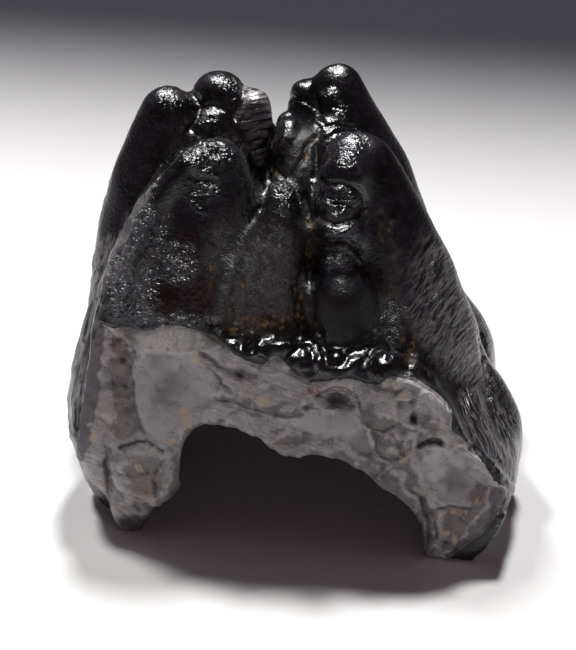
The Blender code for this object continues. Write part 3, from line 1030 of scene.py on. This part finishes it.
def molar_material():
    nodes = Nodes("fossil_molar")
    painted, place, flow = nodes.painted, nodes.place, nodes.flow
    ramp, times, most, part = nodes.ramp, nodes.times, nodes.most, nodes.part
    mix, blend = nodes.mix, nodes.blend
    spotted = nodes.noise(place((1.3, 1.3, 1.3)), 4, 0.65)
    cloudy = nodes.noise(place((6, 6, 6)), 3)
    grain = nodes.noise(place((0.45, 0.45, 0.45)), 3, 0.7)
    streaks = nodes.noise(flow("far", (3.2, 22)), 3, 0.6, 0.3)
    strands = nodes.noise(flow("u", (3.8, 17), 35), 3, 0.6, 0.9)
    stripes = nodes.noise(flow("u", (26, 4.0), -14), 2, 0.5, 0.4)
    fibres = nodes.noise(flow("u", (26, 3.0), 20), 4, 0.65, 1.0)
    hairs = nodes.noise(flow("u", (2.4, 16), 12), 3, 0.6)
    webbing = nodes.ridges(flow("far", (4.2, 48)), 1.2)
    mottle = nodes.noise(place((2.0, 2.0, 1.6)), 5, 0.66, 0.9)
    curds = nodes.noise(place((1.0, 1.0, 1.6)), 5, 0.75)
    pits = nodes.ridges(place((1.1, 1.1, 0.9)), 1.0)
    smooth, shade_dull = painted("smooth"), painted("shade_dull")

    def broken_up(name, low, high, share):
        """A painted mask with a ragged edge."""
        ragged = nodes.math("MULTIPLY_ADD", nodes.math("SUBTRACT", spotted, 0.5), share, painted(name))
        return ramp(ragged, low, high)

    # Dust and painted sheen.
    dust_and_sheen = part("dust_and_sheen", spotted, 0.3, 0.7)
    # Where the pits' ridges get a painted highlight: the patch, and the pitted spots.
    pit_sheen = most(painted("pit_sheen"), times(painted("pitted"), 0.7))
    strandy = most(part("worn_and_sheen", streaks, 0.38, 0.54), part("net", webbing, 0.74, 1.0))
    earth = part("earth", spotted, 0.30, 0.50)
    enamel = nodes.coats(
        mix(ramp(cloudy, 0.35, 0.65), ENAMEL_BLACK, ENAMEL_BLUE),
        (dust_and_sheen, ENAMEL_DUST_AND_SHEEN),
        # Painted sheen along the right flank's strokes.
        (part("stroked", strands, 0.40, 0.64), STROKE_SHEEN),
        (part("striped", stripes, 0.36, 0.58), STRIPE_PALE),
        # Painted highlight on the ridges round the pits.
        (times(pit_sheen, ramp(pits, 0.10, 0.95)), PIT_RIDGE_SHEEN),
        # Worn pale enamel and painted sheen, on the worn strips and the net.
        (times(strandy, 0.75), WORN_AND_SHEEN_GREY),
        (part("matt", grain, 0.35, 0.70), MATT_BROWN),
        (broken_up("plum", 0.3, 0.8, 0.9), PLUM),
        # Black where painted black, at the break's edge, and on the painted shade spots.
        (most(painted("black"), most(painted("lip"), shade_dull)), ENAMEL_BLACK),
        (earth, mix(ramp(curds, 0.50, 0.62), EARTH_DARK, EARTH_GOLD)),
    )
    dentine = nodes.coats(
        mix(ramp(cloudy, 0.4, 0.6), DENTINE, DENTINE_BLUE),
        (times(smooth, 0.7), DENTINE_BLUE),
        (ramp(spotted, 0.50, 0.75, 0.0, 0.7), DENTINE_WARM),
        (ramp(mottle, 0.50, 0.30, 0.0, 0.55), BROWN),
        (times(ramp(fibres, 0.54, 0.36), blend(smooth, 0.6, 0.07)), DENTINE_DARK),
        # Painted highlight on the crests.
        (times(painted("crest_highlight"), 0.4), PALE_AND_HIGHLIGHT),
        (times(broken_up("pink", 0.35, 0.65, 0.9), 0.55), PINK),
        (times(broken_up("brown", 0.3, 0.8, 1.1), 0.8), BROWN),
        (times(broken_up("purple", 0.3, 0.75, 0.9), 0.85), ENAMEL_PURPLE),
        # The pale bevel with painted light on it, and painted highlights along the raised lines.
        (times(broken_up("pale", 0.3, 0.6, 0.5), ramp(hairs, 0.30, 0.60, 0.45, 0.85)), PALE_AND_HIGHLIGHT),
        (times(broken_up("ochre", 0.35, 0.85, 0.8), 0.75), OCHRE),
        (part("rust", grain, 0.42, 0.58), RUST),
        # Painted shade, in the creases, the cracks and holes, and the hollow under the crown.
        (times(painted("crease"), 0.6), PAINTED_SHADE),
        (times(broken_up("crack_shade", 0.25, 0.8, 0.6), 0.85), PAINTED_SHADE),
        (times(painted("hollow"), 0.6), PAINTED_SHADE),
    )
    broken = ramp(painted("broken"), 0.35, 0.65)
    nodes.put(nodes.shader["Base Color"], mix(broken, enamel, dentine))

    roughness = nodes.coats(
        blend(ramp(spotted, 0.35, 0.7), *POLISHED),
        (dust_and_sheen, DUST_AND_SHEEN_ROUGHNESS),
        (painted("matt"), blend(ramp(spotted, 0.4, 0.6), *MATT_ENAMEL)),
        (pit_sheen, PIT_SHEENED),
        (painted("wet"), WET),
        (painted("lip"), AT_THE_BREAK),
        (strandy, WORN_AND_SHEENED),
        (earth, EARTHY),
        (shade_dull, SHADE_DULLED),
        (broken, blend(ramp(grain, 0.3, 0.7), *BROKEN)),
        mixed=blend,
    )
    nodes.put(nodes.shader["Roughness"], roughness)
    nodes.shader["IOR"].default_value = ENAMEL_IOR
    # Little gloss on the earth and on the painted shade spots.
    nodes.put(nodes.shader["Specular IOR Level"], blend(most(shade_dull, earth), SHINE, DULL_SHINE))

    knobs = nodes.ridges(place((1.3, 1.3, 1.0)), 0.6)
    waves = nodes.ridges(place((1.9, 1.9, 0.75), (0, -14, 0)), 0.8)
    patterns = (knobs, waves, pits, strands, stripes, webbing, streaks)
    fine_height = blend(painted("matt"), blend(painted("wet"), 0.15, 0.09), 0.34)
    fine = times(nodes.noise(place((0.7, 0.7, 0.7)), 3, 0.6), fine_height)
    for (name, height), pattern in zip(PATTERN_HEIGHTS.items(), patterns):
        fine = nodes.math("MULTIPLY_ADD", times(painted(name), pattern), height, fine)
    chipped = nodes.noise(place((1.1, 1.1, 1.1)), 5, 0.70, 0.4)
    chip_height = blend(smooth, blend(painted("brown"), 0.55, 0.95), 0.12)
    fibre_height = times(fibres, blend(smooth, 0.20, 0.04))
    chipped = nodes.math("MULTIPLY_ADD", chipped, chip_height, fibre_height)
    relief = nodes.add("ShaderNodeBump", {"Height": blend(broken, fine, chipped), "Distance": MM})
    nodes.put(nodes.shader["Normal"], relief.outputs["Normal"])
    return nodes.material


# ---------------- stage, lights and camera


def stand(name, data, place, towards):
    """A new object at a place, looking along a direction."""
    obj = bpy.data.objects.new(name, data)
    obj.location = Vector(place)
    obj.rotation_mode = "QUATERNION"
    obj.rotation_quaternion = Vector(towards).to_track_quat("-Z", "Y")
    bpy.context.scene.collection.objects.link(obj)
    return obj


def add_camera():
    data = bpy.data.cameras.new("camera")
    data.sensor_width = SENSOR
    data.lens = SENSOR * FOCAL_PIXELS / PICTURE_HEIGHT
    data.clip_start = CLIP_START * MM
    bpy.context.scene.camera = stand("camera", data, CAMERA_PLACE * MM, -BACK)


def add_soft_light(name, place, size, power):
    data = bpy.data.lights.new(name, "AREA")
    data.shape = "DISK"
    data.size = size
    data.energy = power
    return stand(name, data, place, Vector(LIGHTS_AIM) - Vector(place))


def add_fill_light():
    """A weak narrow beam from low in front, on the broken face."""
    data = bpy.data.lights.new("fill", "SPOT")
    data.energy = FILL_POWER
    data.shadow_soft_size = FILL_SIZE
    data.spot_size = FILL_SPREAD
    data.spot_blend = 1.0
    fill = stand("fill", data, FILL_PLACE, Vector(FILL_AIM) - Vector(FILL_PLACE))
    fill.visible_glossy = False


def add_lights():
    for light in KEY_LIGHTS:
        add_soft_light(*light)
    gloss = add_soft_light(*GLOSS_LIGHT)
    gloss.visible_diffuse = False
    add_fill_light()
    world = bpy.data.worlds.new("room")
    world.use_nodes = True
    background = world.node_tree.nodes["Background"]
    background.inputs["Color"].default_value = (*ROOM_COLOUR, 1)
    background.inputs["Strength"].default_value = ROOM_STRENGTH
    bpy.context.scene.world = world


def floor_material():
    nodes = Nodes("pale_floor")
    nodes.shader["Roughness"].default_value = FLOOR_ROUGHNESS
    nodes.shader["Specular IOR Level"].default_value = FLOOR_SHINE
    split = nodes.add("ShaderNodeSeparateXYZ", {0: nodes.place()}).outputs
    leant = nodes.math("MULTIPLY_ADD", split["X"], FADE_LEAN, split["Y"])
    aside = nodes.math("MULTIPLY_ADD", split["Y"], -PICTURE_SPREAD, nodes.math("ABSOLUTE", split["X"]))
    beside = nodes.ramp(nodes.math("SUBTRACT", aside, PICTURE_HALF), *FADE_BESIDE)
    dim = nodes.most(nodes.ramp(split["Y"], *FADE_IN_FRONT), beside)
    # Painted fall-off of the light behind the molar, and dimmer in front and beside.
    colour = nodes.coats(FLOOR_PALE, (nodes.ramp(leant, *FADE_BEHIND), FLOOR_UNLIT), (dim, FLOOR_DIM))
    nodes.put(nodes.shader["Base Color"], colour)
    return nodes.material


def add_floor():
    bm = bmesh.new()
    bmesh.ops.create_grid(bm, x_segments=1, y_segments=1, size=FLOOR_HALF)
    mesh = bpy.data.meshes.new("floor")
    bm.to_mesh(mesh)
    bm.free()
    mesh.materials.append(floor_material())
    floor = bpy.data.objects.new("floor", mesh)
    bpy.context.scene.collection.objects.link(floor)


def make_molar(node):
    obj = rounded_copy(node)
    add_cords(obj)
    one_skin(obj)
    carve(obj)
    thin_out(obj)
    paint(obj)
    obj.data.materials.append(molar_material())
    obj.data.shade_smooth()
    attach(obj, "root")
    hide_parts("molar")


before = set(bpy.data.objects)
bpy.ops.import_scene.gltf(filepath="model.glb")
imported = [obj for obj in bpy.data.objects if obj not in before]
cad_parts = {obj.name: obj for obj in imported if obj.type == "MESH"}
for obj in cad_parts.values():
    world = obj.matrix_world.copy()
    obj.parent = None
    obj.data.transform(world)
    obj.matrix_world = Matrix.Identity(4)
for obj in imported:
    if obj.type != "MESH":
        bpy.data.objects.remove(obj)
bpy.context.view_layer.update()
add_camera()
add_floor()
add_lights()
make_molar(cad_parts["molar"])
bpy.context.scene.view_settings.view_transform = "Standard"
